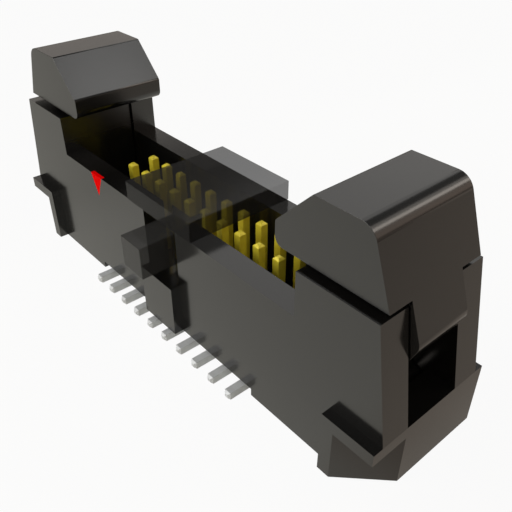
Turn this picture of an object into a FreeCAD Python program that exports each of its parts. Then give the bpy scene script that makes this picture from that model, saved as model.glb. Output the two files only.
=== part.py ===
import FreeCAD, Part
import math
import os
import Sketcher

# A shrouded pin header for flat ribbon cable: two rows of ten contacts at 1.27 mm, soldered flat
# to the board, in a black moulded box with a hinged ejector latch at each end, and a clear smoked
# pick-up pad hung over the side walls.
# Frame: +Z up, z = 0 is the board, the origin is below the middle of the contact field,
# X runs along the header and the front wall with its key slot faces -Y.

doc = FreeCAD.newDocument("BoxHeader")

# Driving dimensions in millimetres, apart from one count and one slope
driving = [
    ("contacts_per_row", "10", "contacts in each row, a count"),
    ("contact_pitch", "1.27", "from one contact to the next in a row"),
    ("row_spacing", "1.27", "between the two rows"),
    ("wire_size", "0.40", "side of the square contact wire"),
    ("wire_bend", "0.20", "inside radius where a contact turns into its lead"),
    ("pin_tip_height", "6.43", "board to contact tip"),
    ("lead_reach", "3.70", "middle plane to lead end"),
    ("tip_chamfer", "0.11", "chamfer round each wire end"),
    ("contact_clearance", "0.01", "contact to the side of its hole in the floor"),
    ("housing_width", "5.70", "over the side walls"),
    ("side_wall", "1.15", "side wall thickness beside the contacts"),
    ("side_wall_top", "6.45", "board to the top of the low side walls"),
    ("end_wall_top", "8.51", "board to the top of the end towers"),
    ("cavity_margin", "3.185", "last contact to the end of the plug cavity"),
    ("end_tower", "4.65", "length of each end tower at its foot"),
    ("end_slope", "0.87", "how far the end face leans in at its top"),
    ("base_height", "3.38", "board to the shelf, the sill and the key slot's floor"),
    ("standoff", "0.24", "board to the underside"),
    ("floor_top", "2.30", "board to the plug cavity's floor"),
    ("relief_top", "0.63", "board to the roof over the leads"),
    ("relief_margin", "0.735", "last contact to the end of that roof"),
    ("corner_foot", "2.51", "length of each corner foot"),
    ("foot_proud", "0.48", "how far the feet and the middle boss stand out"),
    ("corner_cut", "1.90", "chamfer under the two front corner feet at each end"),
    ("corner_band", "0.59", "height of the square band left above that chamfer"),
    ("key_width", "2.56", "width of the key slot and of the boss below it"),
    ("sill_depth", "1.35", "sill in the end face, from outside to the latch chamber"),
    ("chamber_floor", "1.60", "board to the latch chamber's floor"),
    ("blade_width", "2.78", "width of a latch inside its slot"),
    ("blade_clearance", "0.06", "latch to the side of its slot"),
    ("pivot_inset", "2.15", "end of the housing to the latch pivot"),
    ("pivot_height", "2.70", "board to the latch pivot"),
    ("trunnion_radius", "0.50", "radius of the latch's two pivot stubs"),
    ("trunnion_length", "0.45", "length of each pivot stub"),
    ("trunnion_clearance", "0.05", "stub to the wall of its blind hole, all round and at the end"),
    ("hub_radius", "0.70", "round boss of the latch at its pivot"),
    ("leg_back", "0.15", "pivot to the blade's outer face below its bulge"),
    ("blade_inset", "0.16", "blade's inner face behind the end tower's face"),
    ("shoulder_height", "7.07", "board to the crease on the latch's outer face"),
    ("window_top", "6.35", "board to the underside of the latch's outer bulge"),
    ("shoulder_run", "0.31", "how far the face turns in between those two"),
    ("shoulder_radius", "0.50", "rounding of that crease"),
    ("back_inset", "0.805", "end of the housing to the latch's outer face, under the head"),
    ("back_lean", "0.36", "lean of that face, run for each unit of height"),
    ("head_width", "5.04", "width of the latch head"),
    ("head_gap", "0.26", "end tower to latch head"),
    ("head_height", "2.80", "height of the latch head"),
    ("nose_overhang", "1.46", "how far the head's nose reaches over the plug cavity"),
    ("nose_height", "1.03", "height of the nose's upright face"),
    ("nose_foot_radius", "0.40", "rounding under the nose"),
    ("nose_top_radius", "0.20", "rounding over the nose"),
    ("crown_radius", "0.75", "rounding at the top of the outer face"),
    ("crest_radius", "0.12", "rounding where the slope meets the flat top"),
    ("toe_reach", "3.40", "pivot to the tip of the ejecting toe"),
    ("toe_gap", "0.15", "cavity floor to toe"),
    ("toe_thickness", "0.65", "thickness of the toe"),
    ("pad_length", "5.04", "pick-up pad along the header"),
    ("pad_overhang", "0.07", "pad edge past the outside of the side walls"),
    ("pad_thickness", "1.00", "thickness of the pad"),
    ("hook_width", "1.56", "width of the pad's stem and hook"),
    ("hook_bottom", "4.25", "board to the hook's underside"),
    ("hook_top", "5.92", "board to the hook's top"),
    ("hook_reach", "4.44", "middle plane to the hook's free end"),
    ("stem_wall_gap", "0.12", "stem to the inside of the side wall"),
    ("stem_pin_gap", "0.115", "stem to the contacts"),
    ("mark_width", "1.04", "pin one mark, at the wall top"),
    ("mark_height", "1.18", "pin one mark, top to point"),
    ("mark_depth", "0.20", "depth of the paint-filled recess"),
]

# Places worked out from them, so that each fit follows the sizes
worked = [
    ("half_span", "Size.contact_pitch * (Size.contacts_per_row - 1) / 2"),
    ("row_place", "Size.row_spacing / 2"),
    ("half_wire", "Size.wire_size / 2"),
    ("hole_half", "half_wire + Size.contact_clearance"),
    ("half_width", "Size.housing_width / 2"),
    ("foot_face", "half_width + Size.foot_proud"),
    ("cavity_side", "half_width - Size.side_wall"),
    ("half_cavity", "half_span + Size.cavity_margin"),
    ("half_length", "half_cavity + Size.end_tower"),
    ("end_top", "half_length - Size.end_slope"),
    ("relief_end", "half_span + Size.relief_margin"),
    ("foot_start", "half_length - Size.corner_foot"),
    ("cut_start", "half_length - Size.corner_cut"),
    ("cut_side", "foot_face - Size.corner_cut"),
    ("band_bottom", "Size.base_height - Size.corner_band"),
    ("half_key", "Size.key_width / 2"),
    ("sill_start", "half_length - Size.sill_depth"),
    ("slot_width", "Size.blade_width + 2 * Size.blade_clearance"),
    ("pivot_place", "half_length - Size.pivot_inset"),
    ("pivot_hole_radius", "Size.trunnion_radius + Size.trunnion_clearance"),
    ("trunnion_span", "Size.blade_width + 2 * Size.trunnion_length"),
    ("pivot_hole_span", "trunnion_span + 2 * Size.trunnion_clearance"),
    ("leg_outside", "pivot_place + Size.leg_back"),
    ("blade_inside", "half_cavity + Size.blade_inset"),
    ("head_bottom", "Size.end_wall_top + Size.head_gap"),
    ("head_top", "head_bottom + Size.head_height"),
    ("nose_place", "half_cavity - Size.nose_overhang"),
    ("nose_top", "head_bottom + Size.nose_height"),
    ("crest_place", "nose_place + head_top - nose_top"),
    ("back_foot", "half_length - Size.back_inset"),
    ("back_top", "back_foot - Size.back_lean * Size.head_height"),
    ("shoulder_place", "back_foot + Size.back_lean * (head_bottom - Size.shoulder_height)"),
    ("bulge_foot", "shoulder_place - Size.shoulder_run"),
    ("toe_tip", "pivot_place - Size.toe_reach"),
    ("toe_bottom", "Size.floor_top + Size.toe_gap"),
    ("toe_top", "toe_bottom + Size.toe_thickness"),
    ("pad_side", "half_width + Size.pad_overhang"),
    ("half_pad", "Size.pad_length / 2"),
    ("stem_outside", "cavity_side - Size.stem_wall_gap"),
    ("stem_inside", "row_place + half_wire + Size.stem_pin_gap"),
    ("half_mark", "Size.mark_width / 2"),
    ("mark_point", "Size.side_wall_top - Size.mark_height"),
    ("above", "head_top + Size.head_height"),
    ("beyond", "half_length + Size.end_tower"),
]

size = doc.addObject("Spreadsheet::Sheet", "Size")
for row, (alias, value, note) in enumerate(driving, start=1):
    size.set("A%d" % row, note)
    size.set("B%d" % row, value)
    size.setAlias("B%d" % row, alias)
doc.recompute()

place = doc.addObject("Spreadsheet::Sheet", "Place")
for row, (alias, formula) in enumerate(worked, start=1):
    place.set("B%d" % row, "=" + formula)
    place.setAlias("B%d" % row, alias)
doc.recompute()


def new_body(name):
    body = doc.addObject("PartDesign::Body", name)
    body.Label = name
    return body


def new_sketch(body, name, role, offset=None):
    # An empty sketch on one of the body's own planes, or at an offset along that plane's normal
    plane = next(item for item in body.Origin.OriginFeatures if item.Role == role)
    sketch = body.newObject("Sketcher::SketchObject", name)
    sketch.AttachmentSupport = [(plane, "")]
    sketch.MapMode = "FlatFace"
    if offset:
        sketch.setExpression("AttachmentOffset.Base.z", offset)
    return sketch


def tie_point(sketch, element, point, across, up):
    # Holds a point of a sketch at two formulas, measured from the sketch's origin
    start = sketch.getPoint(element, point)
    for kind, value, formula in (("DistanceX", start.x, across), ("DistanceY", start.y, up)):
        number = sketch.addConstraint(Sketcher.Constraint(kind, -1, 1, element, point, value))
        sketch.setExpression("Constraints[%d]" % number, formula)


def add_outline(sketch, corners):
    # A closed outline of straight lines; each corner is a pair of formulas
    first = sketch.GeometryCount
    count = len(corners)
    turn = 2 * math.pi / count
    rough = [FreeCAD.Vector(math.cos(turn * n), math.sin(turn * n), 0) for n in range(count)]
    for n in range(count):
        sketch.addGeometry(Part.LineSegment(rough[n], rough[(n + 1) % count]))
    for n in range(count):
        ends = (first + n, 2, first + (n + 1) % count, 1)
        sketch.addConstraint(Sketcher.Constraint("Coincident", *ends))
    for n, (across, up) in enumerate(corners):
        tie_point(sketch, first + n, 1, across, up)


def add_rectangle(sketch, left, right, low, high):
    add_outline(sketch, [(left, low), (right, low), (right, high), (left, high)])


def add_circle(sketch, across, up, radius):
    element = sketch.addGeometry(Part.Circle(FreeCAD.Vector(1, 1, 0), FreeCAD.Vector(0, 0, 1), 1))
    tie_point(sketch, element, 3, across, up)
    number = sketch.addConstraint(Sketcher.Constraint("Radius", element, 1.0))
    sketch.setExpression("Constraints[%d]" % number, radius)


def extrude(kind, body, name, sketch, length, symmetric=False, reverse=False):
    feature = body.newObject(kind, name)
    feature.Profile = sketch
    feature.setExpression("Length", length)
    if symmetric:
        feature.SideType = "Symmetric"
    feature.Reversed = reverse
    sketch.Visibility = False
    doc.recompute()
    return feature


def add_pad(*args, **options):
    return extrude("PartDesign::Pad", *args, **options)


def cut_pocket(body, *args, **options):
    before = body.Tip.Shape.Volume
    feature = extrude("PartDesign::Pocket", body, *args, **options)
    if feature.Shape.Volume >= before:
        raise RuntimeError("%s cuts nothing" % feature.Label)
    return feature


def edges_where(feature, test):
    # Names of the edges whose end points all pass the test
    chosen = []
    for number, edge in enumerate(feature.Shape.Edges, start=1):
        if all(test(vertex.Point) for vertex in edge.Vertexes):
            chosen.append("Edge%d" % number)
    return chosen


def near(a, b):
    return abs(a - b) < 1e-5


def dress_edges(kind, amount, body, name, edges, formula):
    feature = body.newObject(kind, name)
    feature.Base = (feature.BaseFeature or body.Tip, edges)
    feature.setExpression(amount, formula)
    doc.recompute()
    return feature


def round_edges(*args):
    return dress_edges("PartDesign::Fillet", "Radius", *args)


def chamfer_edges(*args):
    return dress_edges("PartDesign::Chamfer", "Size", *args)


def make_housing():
    body = new_body("housing")

    # Long block with low side walls between two towers whose end faces lean in
    sketch = new_sketch(body, "housing_side", "XZ_Plane")
    add_outline(sketch, [
        ("-Place.half_length", "Size.standoff"), ("Place.half_length", "Size.standoff"),
        ("Place.half_length", "Size.base_height"), ("Place.end_top", "Size.end_wall_top"),
        ("Place.half_cavity", "Size.end_wall_top"), ("Place.half_cavity", "Size.side_wall_top"),
        ("-Place.half_cavity", "Size.side_wall_top"), ("-Place.half_cavity", "Size.end_wall_top"),
        ("-Place.end_top", "Size.end_wall_top"), ("-Place.half_length", "Size.base_height"),
    ])
    add_pad(body, "housing_block", sketch, "Size.housing_width", symmetric=True)

    # Feet at the four corners and the boss under the key slot
    sketch = new_sketch(body, "feet_plan", "XY_Plane", "Size.standoff")
    for side in ("", "-"):
        add_rectangle(sketch, side + "Place.foot_start", side + "Place.half_length",
                      "-Place.foot_face", "Place.foot_face")
    add_rectangle(sketch, "-Place.half_key", "Place.half_key",
                  "-Place.foot_face", "-Place.cavity_side")
    add_pad(body, "feet", sketch, "Size.base_height - Size.standoff")

    # Both front corners are cut off below a square band
    sketch = new_sketch(body, "corner_cut_plan", "XY_Plane", "Place.band_bottom")
    for side in ("", "-"):
        add_outline(sketch, [
            (side + "Place.cut_start", "-Place.foot_face"),
            (side + "Place.half_length", "-Place.foot_face"),
            (side + "Place.half_length", "-Place.cut_side"),
        ])
    cut_pocket(body, "corner_cuts", sketch, "Place.band_bottom")

    # Roof over the leads
    sketch = new_sketch(body, "lead_roof_side", "XZ_Plane")
    add_rectangle(sketch, "-Place.relief_end", "Place.relief_end",
                  "Size.standoff - Size.base_height", "Size.relief_top")
    cut_pocket(body, "lead_roof", sketch, "2 * Size.housing_width", symmetric=True)

    # Plug cavity
    sketch = new_sketch(body, "cavity_plan", "XY_Plane", "Size.end_wall_top")
    add_rectangle(sketch, "-Place.half_cavity", "Place.half_cavity",
                  "-Place.cavity_side", "Place.cavity_side")
    cut_pocket(body, "plug_cavity", sketch, "Size.end_wall_top - Size.floor_top")

    # Latch slots, open to the cavity and through the end faces above a sill
    sketch = new_sketch(body, "latch_slot_side", "XZ_Plane")
    for side in ("", "-"):
        add_outline(sketch, [
            (side + "Place.half_cavity", "Size.chamber_floor"),
            (side + "Place.sill_start", "Size.chamber_floor"),
            (side + "Place.sill_start", "Size.base_height"),
            (side + "Place.beyond", "Size.base_height"),
            (side + "Place.beyond", "Place.above"),
            (side + "Place.half_cavity", "Place.above"),
        ])
    cut_pocket(body, "latch_slots", sketch, "Place.slot_width", symmetric=True)

    # Blind holes for the latch pivots
    sketch = new_sketch(body, "pivot_side", "XZ_Plane")
    for side in ("", "-"):
        add_circle(sketch, side + "Place.pivot_place", "Size.pivot_height",
                   "Place.pivot_hole_radius")
    cut_pocket(body, "pivot_holes", sketch, "Place.pivot_hole_span", symmetric=True)

    # Key slot through the front wall
    sketch = new_sketch(body, "key_slot_side", "XZ_Plane")
    add_rectangle(sketch, "-Place.half_key", "Place.half_key", "Size.base_height", "Place.above")
    cut_pocket(body, "key_slot", sketch, "Size.housing_width", reverse=True)

    # Recess for the pin one mark in the front wall, open at the wall top
    sketch = new_sketch(body, "mark_recess_side", "XZ_Plane", "Place.half_width")
    add_outline(sketch, mark_corners("Size.end_wall_top"))
    cut_pocket(body, "mark_recess", sketch, "Size.mark_depth")

    # One square hole through the floor for each contact
    sketch = new_sketch(body, "contact_hole_plan", "XY_Plane", "Size.floor_top")
    for row in ("", "-"):
        middle = row + "Place.row_place"
        add_rectangle(sketch, "-Place.half_span - Place.hole_half",
                      "-Place.half_span + Place.hole_half",
                      middle + " - Place.hole_half", middle + " + Place.hole_half")
    hole = cut_pocket(body, "contact_hole", sketch, "Size.floor_top")
    pattern = body.newObject("PartDesign::LinearPattern", "contact_holes")
    pattern.Originals = [hole]
    pattern.Direction = (sketch, ["H_Axis"])
    pattern.setExpression("Length", "2 * Place.half_span")
    pattern.setExpression("Occurrences", "Size.contacts_per_row")
    body.Tip = pattern
    doc.recompute()
    return body


def mark_corners(top):
    # The mark points down at the first contact; its straight sides run on to the given height
    slope = "Place.half_mark / Size.mark_height"
    spread = "%s * (%s - Place.mark_point)" % (slope, top)
    return [
        ("-Place.half_span", "Place.mark_point"),
        ("-Place.half_span + " + spread, top),
        ("-Place.half_span - " + spread, top),
    ]


def make_mark():
    body = new_body("pin_one_mark")
    sketch = new_sketch(body, "mark_side", "XZ_Plane", "Place.half_width")
    add_outline(sketch, mark_corners("Size.side_wall_top"))
    add_pad(body, "mark_fill", sketch, "Size.mark_depth", reverse=True)
    return body


def make_contact(name, column, front):
    # A square wire that stands in the cavity, passes the floor and turns flat along the board
    body = new_body(name)
    sketch = new_sketch(body, name + "_profile", "YZ_Plane")
    add_outline(sketch, [
        ("-Place.row_place + Place.half_wire", "0"),
        ("-Place.row_place + Place.half_wire", "Size.pin_tip_height"),
        ("-Place.row_place - Place.half_wire", "Size.pin_tip_height"),
        ("-Place.row_place - Place.half_wire", "Size.wire_size"),
        ("-Size.lead_reach", "Size.wire_size"),
        ("-Size.lead_reach", "0"),
    ])
    wire = add_pad(body, name + "_wire", sketch, "Size.wire_size", symmetric=True)

    inner_y = -place.get("row_place") - place.get("half_wire")
    outer_y = -place.get("row_place") + place.get("half_wire")
    edges = edges_where(wire, lambda p: near(p.y, inner_y) and near(p.z, size.get("wire_size")))
    bend = round_edges(body, name + "_inside_bend", edges, "Size.wire_bend")
    edges = edges_where(bend, lambda p: near(p.y, outer_y) and near(p.z, 0))
    bend = round_edges(body, name + "_outside_bend", edges, "Size.wire_bend + Size.wire_size")

    tip = size.get("pin_tip_height")
    reach = -size.get("lead_reach")
    edges = edges_where(bend, lambda p: near(p.z, tip)) + edges_where(bend, lambda p: near(p.y, reach))
    chamfer_edges(body, name + "_ends", edges, "Size.tip_chamfer")

    body.setExpression("Placement.Base.x", "-Place.half_span + %d * Size.contact_pitch" % column)
    if not front:
        body.Placement.Rotation = FreeCAD.Rotation(FreeCAD.Vector(0, 0, 1), 180)
    doc.recompute()
    return body


def make_latch(name, turned):
    # Drawn as the one at +X; the other is the same moulding turned round
    body = new_body(name)

    # Head that locks over the plug
    sketch = new_sketch(body, name + "_head_side", "XZ_Plane")
    add_outline(sketch, [
        ("Place.nose_place", "Place.head_bottom"), ("Place.back_foot", "Place.head_bottom"),
        ("Place.back_top", "Place.head_top"), ("Place.crest_place", "Place.head_top"),
        ("Place.nose_place", "Place.nose_top"),
    ])
    head = add_pad(body, name + "_head", sketch, "Size.head_width", symmetric=True)
    roundings = [
        ("nose_foot", "nose_place", "head_bottom", "Size.nose_foot_radius"),
        ("nose_top", "nose_place", "nose_top", "Size.nose_top_radius"),
        ("crest", "crest_place", "head_top", "Size.crest_radius"),
        ("crown", "back_top", "head_top", "Size.crown_radius"),
    ]
    for label, across, up, radius in roundings:
        corner = (place.get(across), place.get(up))
        edges = edges_where(head, lambda p: near(p.x, corner[0]) and near(p.z, corner[1]))
        head = round_edges(body, "%s_%s" % (name, label), edges, radius)

    # Blade with its outer bulge, thinner below it down to the pivot
    sketch = new_sketch(body, name + "_blade_side", "XZ_Plane")
    add_outline(sketch, [
        ("Place.blade_inside", "Place.head_bottom"), ("Place.back_foot", "Place.head_bottom"),
        ("Place.shoulder_place", "Size.shoulder_height"), ("Place.bulge_foot", "Size.window_top"),
        ("Place.leg_outside", "Size.window_top"), ("Place.leg_outside", "Place.toe_bottom"),
        ("Place.blade_inside", "Place.toe_bottom"),
    ])
    blade = add_pad(body, name + "_blade", sketch, "Size.blade_width", symmetric=True)
    crease = (place.get("shoulder_place"), size.get("shoulder_height"))
    edges = edges_where(blade, lambda p: near(p.x, crease[0]) and near(p.z, crease[1]))
    round_edges(body, name + "_shoulder", edges, "Size.shoulder_radius")

    # Round hub with the ejecting toe that lies under the plug
    sketch = new_sketch(body, name + "_toe_side", "XZ_Plane")
    add_rectangle(sketch, "Place.toe_tip", "Place.pivot_place", "Place.toe_bottom", "Place.toe_top")
    toe = add_pad(body, name + "_toe", sketch, "Size.blade_width", symmetric=True)
    sketch = new_sketch(body, name + "_hub_side", "XZ_Plane")
    add_circle(sketch, "Place.pivot_place", "Size.pivot_height", "Size.hub_radius")
    toe = add_pad(body, name + "_hub", sketch, "Size.blade_width", symmetric=True)
    tip_x = place.get("toe_tip")
    edges = edges_where(toe, lambda p: near(p.x, tip_x) and near(p.z, place.get("toe_top")))
    toe = round_edges(body, name + "_toe_top", edges, "Size.toe_thickness / 3")
    edges = edges_where(toe, lambda p: near(p.x, tip_x) and near(p.z, place.get("toe_bottom")))
    round_edges(body, name + "_toe_bottom", edges, "Size.toe_thickness / 3")

    # Stubs that turn in the housing's blind holes
    sketch = new_sketch(body, name + "_trunnion_side", "XZ_Plane")
    add_circle(sketch, "Place.pivot_place", "Size.pivot_height", "Size.trunnion_radius")
    add_pad(body, name + "_trunnions", sketch, "Place.trunnion_span", symmetric=True)

    if turned:
        body.Placement.Rotation = FreeCAD.Rotation(FreeCAD.Vector(0, 0, 1), 180)
    doc.recompute()
    return body


def make_pickup_pad():
    body = new_body("pick_and_place_pad")
    sketch = new_sketch(body, "pad_plan", "XY_Plane", "Size.side_wall_top")
    add_rectangle(sketch, "-Place.half_pad", "Place.half_pad", "-Place.pad_side", "Place.pad_side")
    add_pad(body, "pad_plate", sketch, "Size.pad_thickness")

    # Stem down into the cavity and hook out through the key slot
    sketch = new_sketch(body, "hook_profile", "YZ_Plane")
    add_outline(sketch, [
        ("-Place.stem_inside", "Size.side_wall_top + Size.pad_thickness"),
        ("-Place.stem_inside", "Size.hook_bottom"), ("-Size.hook_reach", "Size.hook_bottom"),
        ("-Size.hook_reach", "Size.hook_top"), ("-Place.stem_outside", "Size.hook_top"),
        ("-Place.stem_outside", "Size.side_wall_top + Size.pad_thickness"),
    ])
    add_pad(body, "pad_hook", sketch, "Size.hook_width", symmetric=True)
    return body


pieces = [make_housing(), make_pickup_pad(), make_mark()]
pieces.append(make_latch("latch_right", turned=False))
pieces.append(make_latch("latch_left", turned=True))
for column in range(int(size.get("contacts_per_row"))):
    pieces.append(make_contact("front_contact_%02d" % (column + 1), column, front=True))
    pieces.append(make_contact("back_contact_%02d" % (column + 1), column, front=False))

doc.recompute()
for item in doc.Objects:
    if "Invalid" in item.State or "Error" in item.State:
        raise RuntimeError("%s failed: %s" % (item.Label, item.State))
for piece in pieces:
    if piece.Shape.isNull() or not piece.Shape.isValid() or len(piece.Shape.Solids) != 1:
        raise RuntimeError("%s is not one valid solid" % piece.Label)

os.makedirs("parts", exist_ok=True)
for piece in pieces:
    piece.Shape.exportStep("parts/%s.step" % piece.Label)
    box = piece.Shape.BoundBox
    print("%-20s %8.3f mm3  x %7.3f %7.3f  y %7.3f %7.3f  z %6.3f %6.3f" % (
        piece.Label, piece.Shape.Volume, box.XMin, box.XMax, box.YMin, box.YMax, box.ZMin, box.ZMax))
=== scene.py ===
import math
import bpy
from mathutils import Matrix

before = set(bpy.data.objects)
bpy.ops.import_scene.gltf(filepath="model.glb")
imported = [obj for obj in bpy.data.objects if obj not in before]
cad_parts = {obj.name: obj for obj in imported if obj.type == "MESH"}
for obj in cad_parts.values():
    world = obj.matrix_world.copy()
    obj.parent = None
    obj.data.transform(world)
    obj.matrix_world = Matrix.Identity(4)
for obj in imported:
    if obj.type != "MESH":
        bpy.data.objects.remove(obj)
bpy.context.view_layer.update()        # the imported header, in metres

mm = 0.001
scene = bpy.context.scene
contactNames = sorted(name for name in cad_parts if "contact" in name)
print("frame loaded:", len(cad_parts), "nodes,", len(contactNames), "contacts")


# Small helpers for node trees

def addNode(tree, kind, place, **settings):
    node = tree.nodes.new(kind)
    node.location = place
    for key, value in settings.items():
        setattr(node, key, value)
    return node


def mathNode(tree, operation, place, first, second=None, clamp=False):
    node = addNode(tree, "ShaderNodeMath", place, operation=operation, use_clamp=clamp)
    for socket, value in zip(node.inputs, (first, second)):
        if isinstance(value, (int, float)):
            socket.default_value = value
        elif value is not None:
            tree.links.new(value, socket)
    return node.outputs["Value"]


def mixColours(tree, place, factor, first, second):
    node = addNode(tree, "ShaderNodeMix", place, data_type="RGBA")
    for socket, value in zip((node.inputs[0], node.inputs[6], node.inputs[7]), (factor, first, second)):
        if isinstance(value, (int, float)):
            socket.default_value = value
        elif isinstance(value, tuple):
            socket.default_value = (*value, 1)
        else:
            tree.links.new(value, socket)
    return node.outputs[2]


def rampNode(tree, place, value, stops):
    node = addNode(tree, "ShaderNodeValToRGB", place)
    tree.links.new(value, node.inputs["Fac"])
    ramp = node.color_ramp
    ramp.elements[0].position = stops[0][0]
    ramp.elements[1].position = stops[-1][0]
    for spot, _ in stops[1:-1]:
        ramp.elements.new(spot)
    for element, (spot, level) in zip(ramp.elements, stops):
        element.position = spot
        element.color = (level, level, level, 1)
    return node.outputs["Color"]


def newGroup(name, inputs, outputs):
    tree = bpy.data.node_groups.new(name, "ShaderNodeTree")
    for label, start in inputs:
        socket = tree.interface.new_socket(
            name=label, in_out="INPUT", socket_type="NodeSocketFloat")
        socket.default_value = start
    for label, kind in outputs:
        tree.interface.new_socket(name=label, in_out="OUTPUT", socket_type=kind)
    given = addNode(tree, "NodeGroupInput", (-900, 0))
    made = addNode(tree, "NodeGroupOutput", (900, 0))
    return tree, given.outputs, made.inputs


def useGroup(tree, group, place, **values):
    node = addNode(tree, "ShaderNodeGroup", place, node_tree=group)
    for label, value in values.items():
        node.inputs[label].default_value = value
    return node.outputs


def objectPlace(tree, place):
    # The point on the surface, in the piece's own metres
    return addNode(tree, "ShaderNodeTexCoord", place).outputs["Object"]


def splitAxes(tree, place, vector):
    node = addNode(tree, "ShaderNodeSeparateXYZ", place)
    tree.links.new(vector, node.inputs["Vector"])
    return node.outputs


def riseFrom(tree, place, value, start, end, kind="LINEAR"):
    # Zero at start and one at end
    node = addNode(tree, "ShaderNodeMapRange", place, interpolation_type=kind)
    tree.links.new(value, node.inputs["Value"])
    for label, limit in (("From Min", start), ("From Max", end)):
        if isinstance(limit, (int, float)):
            node.inputs[label].default_value = limit
        else:
            tree.links.new(limit, node.inputs[label])
    return node.outputs["Result"]


def noiseNode(tree, place, vector, scale, detail):
    node = addNode(tree, "ShaderNodeTexNoise", place)
    node.inputs["Detail"].default_value = detail
    tree.links.new(vector, node.inputs["Vector"])
    if isinstance(scale, (int, float)):
        node.inputs["Scale"].default_value = scale
    else:
        tree.links.new(scale, node.inputs["Scale"])
    return node


def stretchNode(tree, place, vector, scale):
    node = addNode(tree, "ShaderNodeMapping", place)
    node.inputs["Scale"].default_value = scale
    tree.links.new(vector, node.inputs["Vector"])
    return node.outputs["Vector"]


# Effects that several finishes share

skinShape = {"fineDetail": 3, "fineRough": 0.6, "flowDetail": 2, "flowStretch": (0.35, 1.0, 1.6)}


def buildMouldSkin():
    # Skin of moulded plastic: a fine spark texture, and slow streaks where the melt flowed
    tree, given, made = newGroup(
        "mouldSkin", [("Grain", 60000.0), ("Flow", 220.0)],
        [("Height", "NodeSocketFloat"), ("Patch", "NodeSocketFloat")])
    place = objectPlace(tree, (-900, 300))
    fine = noiseNode(tree, (-500, 300), place, given["Grain"], skinShape["fineDetail"])
    fine.inputs["Roughness"].default_value = skinShape["fineRough"]
    stretched = stretchNode(tree, (-700, -50), place, skinShape["flowStretch"])
    slow = noiseNode(tree, (-500, -50), stretched, given["Flow"], skinShape["flowDetail"])
    tree.links.new(fine.outputs["Fac"], made["Height"])
    tree.links.new(slow.outputs["Fac"], made["Patch"])
    return tree


rubShape = {"samples": 6, "gain": 3.2, "detail": 5, "breaks": [(0.30, 0.15), (0.70, 1.0)]}


def buildEdgeRub():
    # Rubbed edges: how far the rounded normal leans from the face's own, broken up by noise
    tree, given, made = newGroup(
        "edgeRub", [("Width", 0.00008), ("Breakup", 900.0)], [("Mask", "NodeSocketFloat")])
    soft = addNode(tree, "ShaderNodeBevel", (-600, 200), samples=rubShape["samples"])
    tree.links.new(given["Width"], soft.inputs["Radius"])
    flat = addNode(tree, "ShaderNodeNewGeometry", (-600, -50)).outputs["True Normal"]
    agree = addNode(tree, "ShaderNodeVectorMath", (-350, 100), operation="DOT_PRODUCT")
    tree.links.new(soft.outputs["Normal"], agree.inputs[0])
    tree.links.new(flat, agree.inputs[1])
    lean = mathNode(tree, "SUBTRACT", (-150, 100), 1.0, agree.outputs["Value"], clamp=True)
    place = objectPlace(tree, (-600, -250))
    noise = noiseNode(tree, (-350, -250), place, given["Breakup"], rubShape["detail"])
    broken = rampNode(tree, (-150, -250), noise.outputs["Fac"], rubShape["breaks"])
    strong = mathNode(tree, "MULTIPLY", (100, 100), lean, rubShape["gain"], clamp=True)
    tree.links.new(mathNode(tree, "MULTIPLY", (300, 0), strong, broken), made["Mask"])
    return tree


def buildHollowMask():
    # Rises to one between the towers, above the side walls, where the mould is a little more matte
    tree, given, made = newGroup(
        "hollowMask",
        [("HalfLength", 1.0), ("HalfWidth", 1.0), ("Bottom", 0.0), ("Middle", 0.5), ("Top", 1.0)],
        [("Mask", "NodeSocketFloat")])
    axes = splitAxes(tree, (-650, 0), objectPlace(tree, (-900, -200)))
    alongX = mathNode(tree, "ABSOLUTE", (-450, 200), axes["X"])
    alongY = mathNode(tree, "ABSOLUTE", (-450, 0), axes["Y"])
    inX = mathNode(tree, "LESS_THAN", (-250, 200), alongX, given["HalfLength"])
    inY = mathNode(tree, "LESS_THAN", (-250, 0), alongY, given["HalfWidth"])
    inZ = mathNode(tree, "LESS_THAN", (-250, -200), axes["Z"], given["Top"])
    rise = riseFrom(tree, (-250, -400), axes["Z"], given["Bottom"], given["Middle"], "SMOOTHSTEP")
    across = mathNode(tree, "MULTIPLY", (0, 100), inX, inY)
    upright = mathNode(tree, "MULTIPLY", (0, -300), inZ, rise)
    tree.links.new(mathNode(tree, "MULTIPLY", (200, 0), across, upright), made["Mask"])
    return tree


mouldSkin = buildMouldSkin()
edgeRub = buildEdgeRub()
hollowMask = buildHollowMask()


def newMaterial(name, spread):
    # An empty material with its shader; spread is the shader's own fixed settings
    material = bpy.data.materials.new(name)
    material.use_nodes = True
    tree = material.node_tree
    shader = tree.nodes["Principled BSDF"]
    shader.location = (700, 0)
    tree.nodes["Material Output"].location = (1000, 0)
    for label, value in spread.items():
        shader.inputs[label].default_value = value
    return material, tree, shader


def bumpFrom(tree, shader, height, finish):
    bump = addNode(tree, "ShaderNodeBump", (450, -400))
    bump.inputs["Strength"].default_value = finish["bump"]
    bump.inputs["Distance"].default_value = finish["bumpDepth"]
    tree.links.new(height, bump.inputs["Height"])
    tree.links.new(bump.outputs["Normal"], shader.inputs["Normal"])


# Black moulded plastic of the housing and the latches

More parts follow.
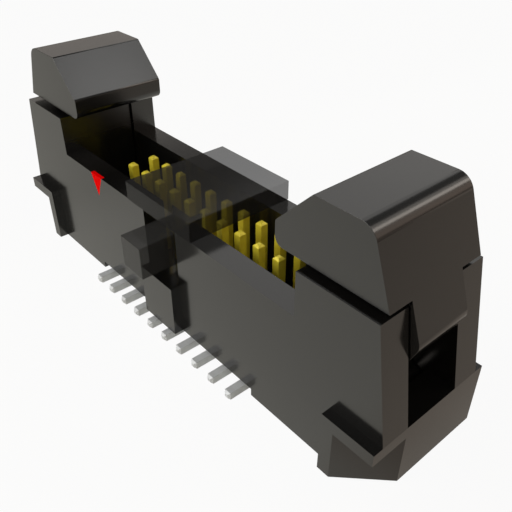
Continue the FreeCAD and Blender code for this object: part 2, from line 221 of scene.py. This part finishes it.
mouldings = {
    "housing": {"colour": (0.0052, 0.0050, 0.0046), "pale": (0.0066, 0.0063, 0.0058),
                "rough": (0.145, 0.185), "grain": 52000.0, "flow": 200.0, "rub": 0.02,
                "bump": 0.12, "bumpDepth": 0.004 * mm},
    "latch": {"colour": (0.0049, 0.0047, 0.0044), "pale": (0.0062, 0.0060, 0.0056),
              "rough": (0.17, 0.22), "grain": 60000.0, "flow": 260.0, "rub": 0.025,
              "bump": 0.12, "bumpDepth": 0.004 * mm},
}
mouldIndex = 1.8
rubbed = {"colour": (0.22, 0.21, 0.20), "width": 0.07 * mm, "breakup": 1400.0}
matteHollow = {"HalfLength": 9.5 * mm, "HalfWidth": 2.83 * mm, "Bottom": 6.47 * mm, "Middle": 7.40 * mm,
               "Top": 8.45 * mm}
matteExtra = 0.13


def makeMoulding(name, finish):
    material, tree, shader = newMaterial(name, {"IOR": mouldIndex})
    hollow = useGroup(tree, hollowMask, (-700, -600), **matteHollow)
    matte = mathNode(tree, "MULTIPLY", (-100, -500), hollow["Mask"], matteExtra)
    skin = useGroup(tree, mouldSkin, (-700, 0), Grain=finish["grain"], Flow=finish["flow"])
    rub = useGroup(tree, edgeRub, (-700, -300), Width=rubbed["width"], Breakup=rubbed["breakup"])
    plain = mixColours(tree, (0, 250), skin["Patch"], finish["colour"], finish["pale"])
    worn = mathNode(tree, "MULTIPLY", (-100, -250), rub["Mask"], finish["rub"])
    tree.links.new(mixColours(tree, (300, 200), worn, plain, rubbed["colour"]), shader.inputs["Base Color"])
    low, high = finish["rough"]
    spread = mathNode(tree, "MULTIPLY", (0, -50), skin["Patch"], high - low)
    dull = mathNode(tree, "ADD", (200, -50), spread, low)
    dull = mathNode(tree, "ADD", (400, -50), dull, worn)
    tree.links.new(mathNode(tree, "ADD", (550, -150), dull, matte), shader.inputs["Roughness"])
    bumpFrom(tree, shader, skin["Height"], finish)
    return material


housingPlastic = makeMoulding("housingPlastic", mouldings["housing"])
latchPlastic = makeMoulding("latchPlastic", mouldings["latch"])
print("moulded plastics made")


# Contacts: gold where the plug touches, tin where they are soldered

contactFinish = {
    "gold": (0.90, 0.76, 0.055), "goldDeep": (0.84, 0.69, 0.044), "metal": 0.2,
    "tin": (0.79, 0.825, 0.85), "tinDull": (0.71, 0.735, 0.76),
    "goldFrom": 1.0 * mm, "goldTo": 1.5 * mm,
    "drawScale": 9000.0, "drawStretch": (1.0, 1.0, 0.12), "drawDetail": 4,
    "blotchScale": 2250.0, "blotchDetail": 5, "blotches": [(0.38, 0.0), (0.66, 1.0)],
    "tinRough": 0.45, "goldPolish": 0.22, "uneven": 0.16, "bump": 0.15, "bumpDepth": 0.004 * mm,
}


def makeContactMetal(finish):
    material, tree, shader = newMaterial("contactMetal", {"Metallic": finish["metal"]})
    place = objectPlace(tree, (-1100, 0))
    height = splitAxes(tree, (-900, 200), place)["Z"]
    gilt = riseFrom(tree, (-700, 200), height, finish["goldFrom"], finish["goldTo"])
    lines = stretchNode(tree, (-900, -150), place, finish["drawStretch"])
    drawn = noiseNode(tree, (-700, -150), lines, finish["drawScale"], finish["drawDetail"])
    blotch = noiseNode(tree, (-700, -450), place, finish["blotchScale"], finish["blotchDetail"])
    mottle = rampNode(tree, (-450, -450), blotch.outputs["Fac"], finish["blotches"])
    gold = mixColours(tree, (-200, 300), mottle, finish["gold"], finish["goldDeep"])
    tin = mixColours(tree, (-200, 50), mottle, finish["tin"], finish["tinDull"])
    tree.links.new(mixColours(tree, (100, 200), gilt, tin, gold), shader.inputs["Base Color"])
    polish = mathNode(tree, "MULTIPLY", (-200, -150), gilt, -finish["goldPolish"])
    uneven = mathNode(tree, "MULTIPLY", (-200, -300), blotch.outputs["Fac"], finish["uneven"])
    change = mathNode(tree, "ADD", (0, -250), polish, uneven)
    matte = mathNode(tree, "ADD", (100, -200), change, finish["tinRough"])
    tree.links.new(matte, shader.inputs["Roughness"])
    bumpFrom(tree, shader, drawn.outputs["Fac"], finish)
    return material


contactMetal = makeContactMetal(contactFinish)
print("contact metal made")


# Smoked clear plastic of the pick-up pad

padFinish = {"colour": (0.010, 0.010, 0.0098), "swirl": (0.014, 0.0138, 0.0134), "rough": 0.10,
             "thick": (0.033, 0.0327, 0.032), "thickFrom": 6.4 * mm, "thickTo": 5.9 * mm,
             "outerVeil": 0.81, "innerVeil": 0.14, "shadeVeil": 0.35, "index": 1.27,
             "grain": 30000.0, "flow": 300.0, "uneven": 0.08, "bump": 0.05, "bumpDepth": 0.003 * mm}


def makeSmokedPlastic(finish):
    material, tree, shader = newMaterial("smokedPlastic", {"IOR": finish["index"]})
    # The veil is thick on the way in and thin on the way out, and lets more light through than it shows
    inside = addNode(tree, "ShaderNodeNewGeometry", (-100, 500)).outputs["Backfacing"]
    veil = mathNode(tree, "MULTIPLY", (100, 500), inside, finish["innerVeil"] - finish["outerVeil"])
    veil = mathNode(tree, "ADD", (250, 500), veil, finish["outerVeil"])
    ray = addNode(tree, "ShaderNodeLightPath", (-100, 900))
    lit = mathNode(tree, "MAXIMUM", (100, 800), ray.outputs["Is Shadow Ray"], ray.outputs["Is Diffuse Ray"])
    eased = mathNode(tree, "MULTIPLY", (250, 800), lit, finish["shadeVeil"] - 1.0)
    eased = mathNode(tree, "ADD", (400, 800), eased, 1.0)
    tree.links.new(mathNode(tree, "MULTIPLY", (550, 500), veil, eased), shader.inputs["Alpha"])
    skin = useGroup(tree, mouldSkin, (-400, 0), Grain=finish["grain"], Flow=finish["flow"])
    thin = mixColours(tree, (0, 100), skin["Patch"], finish["colour"], finish["swirl"])
    # The stem and the hook are thicker than the plate, and look milkier
    height = splitAxes(tree, (-500, 300), objectPlace(tree, (-700, 300)))["Z"]
    depth = riseFrom(tree, (-300, 300), height, finish["thickFrom"], finish["thickTo"])
    milky = mixColours(tree, (300, 100), depth, thin, finish["thick"])
    tree.links.new(milky, shader.inputs["Base Color"])
    dull = mathNode(tree, "MULTIPLY", (0, -150), skin["Patch"], finish["uneven"])
    tree.links.new(mathNode(tree, "ADD", (200, -150), dull, finish["rough"]), shader.inputs["Roughness"])
    bumpFrom(tree, shader, skin["Height"], finish)
    return material


smokedPlastic = makeSmokedPlastic(padFinish)


# Red paint of the contact one mark

markFinish = {"colour": (0.90, 0.0010, 0.0010), "thin": (0.82, 0.0010, 0.0010), "rough": 0.50,
              "index": 1.45, "sheen": 0.02, "grain": 40000.0, "flow": 1500.0, "uneven": 0.2,
              "bump": 0.2, "bumpDepth": 0.005 * mm}


def makeRedPaint(finish):
    material, tree, shader = newMaterial(
        "redPaint", {"IOR": finish["index"], "Specular IOR Level": finish["sheen"]})
    skin = useGroup(tree, mouldSkin, (-400, 0), Grain=finish["grain"], Flow=finish["flow"])
    red = mixColours(tree, (200, 100), skin["Patch"], finish["colour"], finish["thin"])
    tree.links.new(red, shader.inputs["Base Color"])
    dull = mathNode(tree, "MULTIPLY", (0, -150), skin["Height"], finish["uneven"])
    tree.links.new(mathNode(tree, "ADD", (200, -150), dull, finish["rough"]), shader.inputs["Roughness"])
    bumpFrom(tree, shader, skin["Height"], finish)
    return material


redPaint = makeRedPaint(markFinish)
print("pad and mark finishes made")


# The CAD pieces keep their shape; they get their finish and finely rounded edges

finishes = {"housing": housingPlastic, "latch_left": latchPlastic, "latch_right": latchPlastic,
            "pick_and_place_pad": smokedPlastic, "pin_one_mark": redPaint}
finishes.update({name: contactMetal for name in contactNames})
edgeRounding = {"latch_left": 0.014 * mm, "latch_right": 0.014 * mm, "pick_and_place_pad": 0.025 * mm}
edgeRounding.update({name: 0.018 * mm for name in contactNames})
rounding = {"merge": 0.0005 * mm, "flatWithin": 0.5, "sharpFrom": 25, "segments": 2}


def roundEdges(piece, width):
    weld = piece.modifiers.new("weld", "WELD")
    weld.merge_threshold = rounding["merge"]
    join = piece.modifiers.new("flatFaces", "DECIMATE")
    join.decimate_type = "DISSOLVE"
    join.angle_limit = math.radians(rounding["flatWithin"])
    bevel = piece.modifiers.new("edges", "BEVEL")
    bevel.width = width
    bevel.segments = rounding["segments"]
    bevel.limit_method = "ANGLE"
    bevel.angle_limit = math.radians(rounding["sharpFrom"])
    bevel.harden_normals = True
    lean = piece.modifiers.new("normals", "WEIGHTED_NORMAL")
    lean.keep_sharp = True


for name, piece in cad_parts.items():
    piece.data.materials.clear()
    piece.data.materials.append(finishes[name])
    if name in edgeRounding:
        roundEdges(piece, edgeRounding[name])
print("finishes set on", len(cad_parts), "pieces")


# Floor, world and lamps

studio = {
    "floorSize": 2.0, "floorColour": (0.77, 0.76, 0.70), "floorLift": -0.01 * mm, "floorRough": 0.9,
    # Painted shade on the floor paper: darker and warmer to the right, a little darker to the left
    "rightShadeColour": (0.47, 0.41, 0.353), "rightShadeFrom": 9.5 * mm, "rightShadeTo": 15.5 * mm,
    "leftShadeColour": (0.64, 0.63, 0.575), "leftShadeFrom": -9 * mm, "leftShadeTo": -17 * mm,
    "cameraGlow": 0.94, "mirrorGlow": 0.52,
    "skyLow": (0.26, 0.205, 0.168), "skyHigh": (0.14, 0.138, 0.133), "skyRise": 2.0,
    "white": (1.0, 1.0, 1.0),
}


def whiteRays(tree, place, ray):
    # The rays that see the white background: the camera's own and those through clear pieces
    return mathNode(tree, "MAXIMUM", place, ray["Is Camera Ray"], ray["Is Transmission Ray"])


def makeFloor():
    half = studio["floorSize"] / 2
    corners = [(-half, -half), (half, -half), (half, half), (-half, half)]
    mesh = bpy.data.meshes.new("floor")
    mesh.from_pydata([(x, y, studio["floorLift"]) for x, y in corners], [], [(0, 1, 2, 3)])
    floor = bpy.data.objects.new("floor", mesh)
    scene.collection.objects.link(floor)
    material, tree, shader = newMaterial("floorPaper", {"Roughness": studio["floorRough"]})
    # Painted shade on the paper, not its own colour: a little darker towards the left, and a darker, warmer
    # painted shadow towards the right
    across = splitAxes(tree, (-300, 0), objectPlace(tree, (-500, 0)))["X"]
    paperAndShade = studio["floorColour"]
    for tone, high in (("leftShade", 0), ("rightShade", -300)):
        start, end = studio[tone + "From"], studio[tone + "To"]
        shadeSide = riseFrom(tree, (-100, high), across, start, end, "SMOOTHSTEP")
        paperAndShade = mixColours(tree, (150, high), shadeSide, paperAndShade, studio[tone + "Colour"])
    tree.links.new(paperAndShade, shader.inputs["Base Color"])
    # The camera sees it nearly white, and shiny pieces mirror it as evenly lit paper, with its painted
    # shade
    ray = addNode(tree, "ShaderNodeLightPath", (-300, 600)).outputs
    seen = whiteRays(tree, (-100, 800), ray)
    glow = addNode(tree, "ShaderNodeEmission", (700, 250))
    tree.links.new(mixColours(tree, (400, 250), seen, paperAndShade, studio["white"]), glow.inputs["Color"])
    direct = mathNode(tree, "MULTIPLY", (0, 700), seen, studio["cameraGlow"])
    mirrored = mathNode(tree, "MULTIPLY", (0, 500), ray["Is Glossy Ray"], studio["mirrorGlow"])
    blend = addNode(tree, "ShaderNodeMixShader", (900, 150))
    tree.links.new(mathNode(tree, "MAXIMUM", (300, 600), direct, mirrored), blend.inputs["Fac"])
    tree.links.new(shader.outputs["BSDF"], blend.inputs[1])
    tree.links.new(glow.outputs["Emission"], blend.inputs[2])
    tree.links.new(blend.outputs["Shader"], tree.nodes["Material Output"].inputs["Surface"])
    mesh.materials.append(material)


def makeWorld():
    world = bpy.data.worlds.new("studio")
    world.use_nodes = True
    scene.world = world
    tree = world.node_tree
    sky = tree.nodes["Background"]
    direction = addNode(tree, "ShaderNodeTexCoord", (-900, 0)).outputs["Generated"]
    upward = splitAxes(tree, (-700, 0), direction)["Z"]
    rise = mathNode(tree, "MULTIPLY", (-500, 0), upward, studio["skyRise"], clamp=True)
    colour = mixColours(tree, (-300, 0), rise, studio["skyLow"], studio["skyHigh"])
    tree.links.new(colour, sky.inputs["Color"])
    white = addNode(tree, "ShaderNodeBackground", (0, 200))
    white.inputs["Color"].default_value = (*studio["white"], 1)
    ray = addNode(tree, "ShaderNodeLightPath", (-300, 400)).outputs
    seen = addNode(tree, "ShaderNodeMixShader", (300, 0))
    tree.links.new(whiteRays(tree, (0, 400), ray), seen.inputs["Fac"])
    tree.links.new(sky.outputs["Background"], seen.inputs[1])
    tree.links.new(white.outputs["Background"], seen.inputs[2])
    tree.links.new(seen.outputs["Shader"], tree.nodes["World Output"].inputs["Surface"])


# Two lamps stand in front; the others are long panels that lie along Y, turned about it to face the part
lamps = {
    "keyLamp": {"place": (-0.079, -0.223, 0.113), "tilt": (64.4, 0, -19.4), "size": (0.18, 0.18),
                "watts": 0.40, "colour": (1.0, 0.99, 0.96)},
    "fillLamp": {"place": (0.125, -0.105, 0.190), "tilt": (41.4, 0, 50.0), "size": (0.12, 0.12),
                 "watts": 0.105, "colour": (1.0, 0.93, 0.84)},
    "topLamp": {"place": (0.075, 0.105, 0.215), "tilt": (0, 20, 0), "size": (0.06, 0.06),
                "watts": 0.018, "colour": (1.0, 0.99, 0.97)},
    "leftPanel": {"place": (-0.092, 0.150, 0.129), "tilt": (0, -35.5, 0), "size": (0.094, 0.20),
                  "watts": 0.036, "colour": (1.0, 0.98, 0.95)},
    "farPanel": {"place": (-0.147, 0.068, 0.059), "tilt": (0, -68, 0), "size": (0.036, 0.08),
                 "watts": 0.0036, "colour": (1.0, 0.95, 0.89)},
    "rimPanel": {"place": (0.102, 0.168, 0.128), "tilt": (0, 38.5, 0), "size": (0.040, 0.14),
                 "watts": 0.031, "colour": (1.0, 0.90, 0.80)},
    "rimVeil": {"place": (0.084, 0.168, 0.141), "tilt": (0, 31, 0), "size": (0.080, 0.14),
                "watts": 0.027, "colour": (1.0, 0.92, 0.83)},
    "lowPanel": {"place": (0.144, 0.168, 0.077), "tilt": (0, 62, 0), "size": (0.085, 0.16),
                 "watts": 0.022, "colour": (1.0, 0.78, 0.63)},
}


def makeLamps():
    for name, lamp in lamps.items():
        light = bpy.data.lights.new(name, "AREA")
        light.shape = "RECTANGLE"
        light.size, light.size_y = lamp["size"]
        light.energy = lamp["watts"]
        light.color = lamp["colour"]
        holder = bpy.data.objects.new(name, light)
        scene.collection.objects.link(holder)
        holder.location = lamp["place"]
        holder.rotation_euler = [math.radians(angle) for angle in lamp["tilt"]]


makeFloor()
makeWorld()
makeLamps()

# The camera stands where the photograph was taken from

cameraSet = {"place": (21.107 * mm, -15.275 * mm, 21.355 * mm), "azimuth": 49.04, "elevation": 35.09,
             "lens": 43.66, "sensor": 36.0, "nearest": 1 * mm, "farthest": 10}
camera = bpy.data.objects.new("camera", bpy.data.cameras.new("camera"))
scene.collection.objects.link(camera)
camera.location = cameraSet["place"]
camera.rotation_euler = (math.radians(90 - cameraSet["elevation"]), 0, math.radians(cameraSet["azimuth"]))
camera.data.lens = cameraSet["lens"]
camera.data.sensor_width = cameraSet["sensor"]
camera.data.clip_start = cameraSet["nearest"]
camera.data.clip_end = cameraSet["farthest"]
scene.camera = camera
scene.view_settings.view_transform = "Standard"
print("floor, world, lamps and camera set")
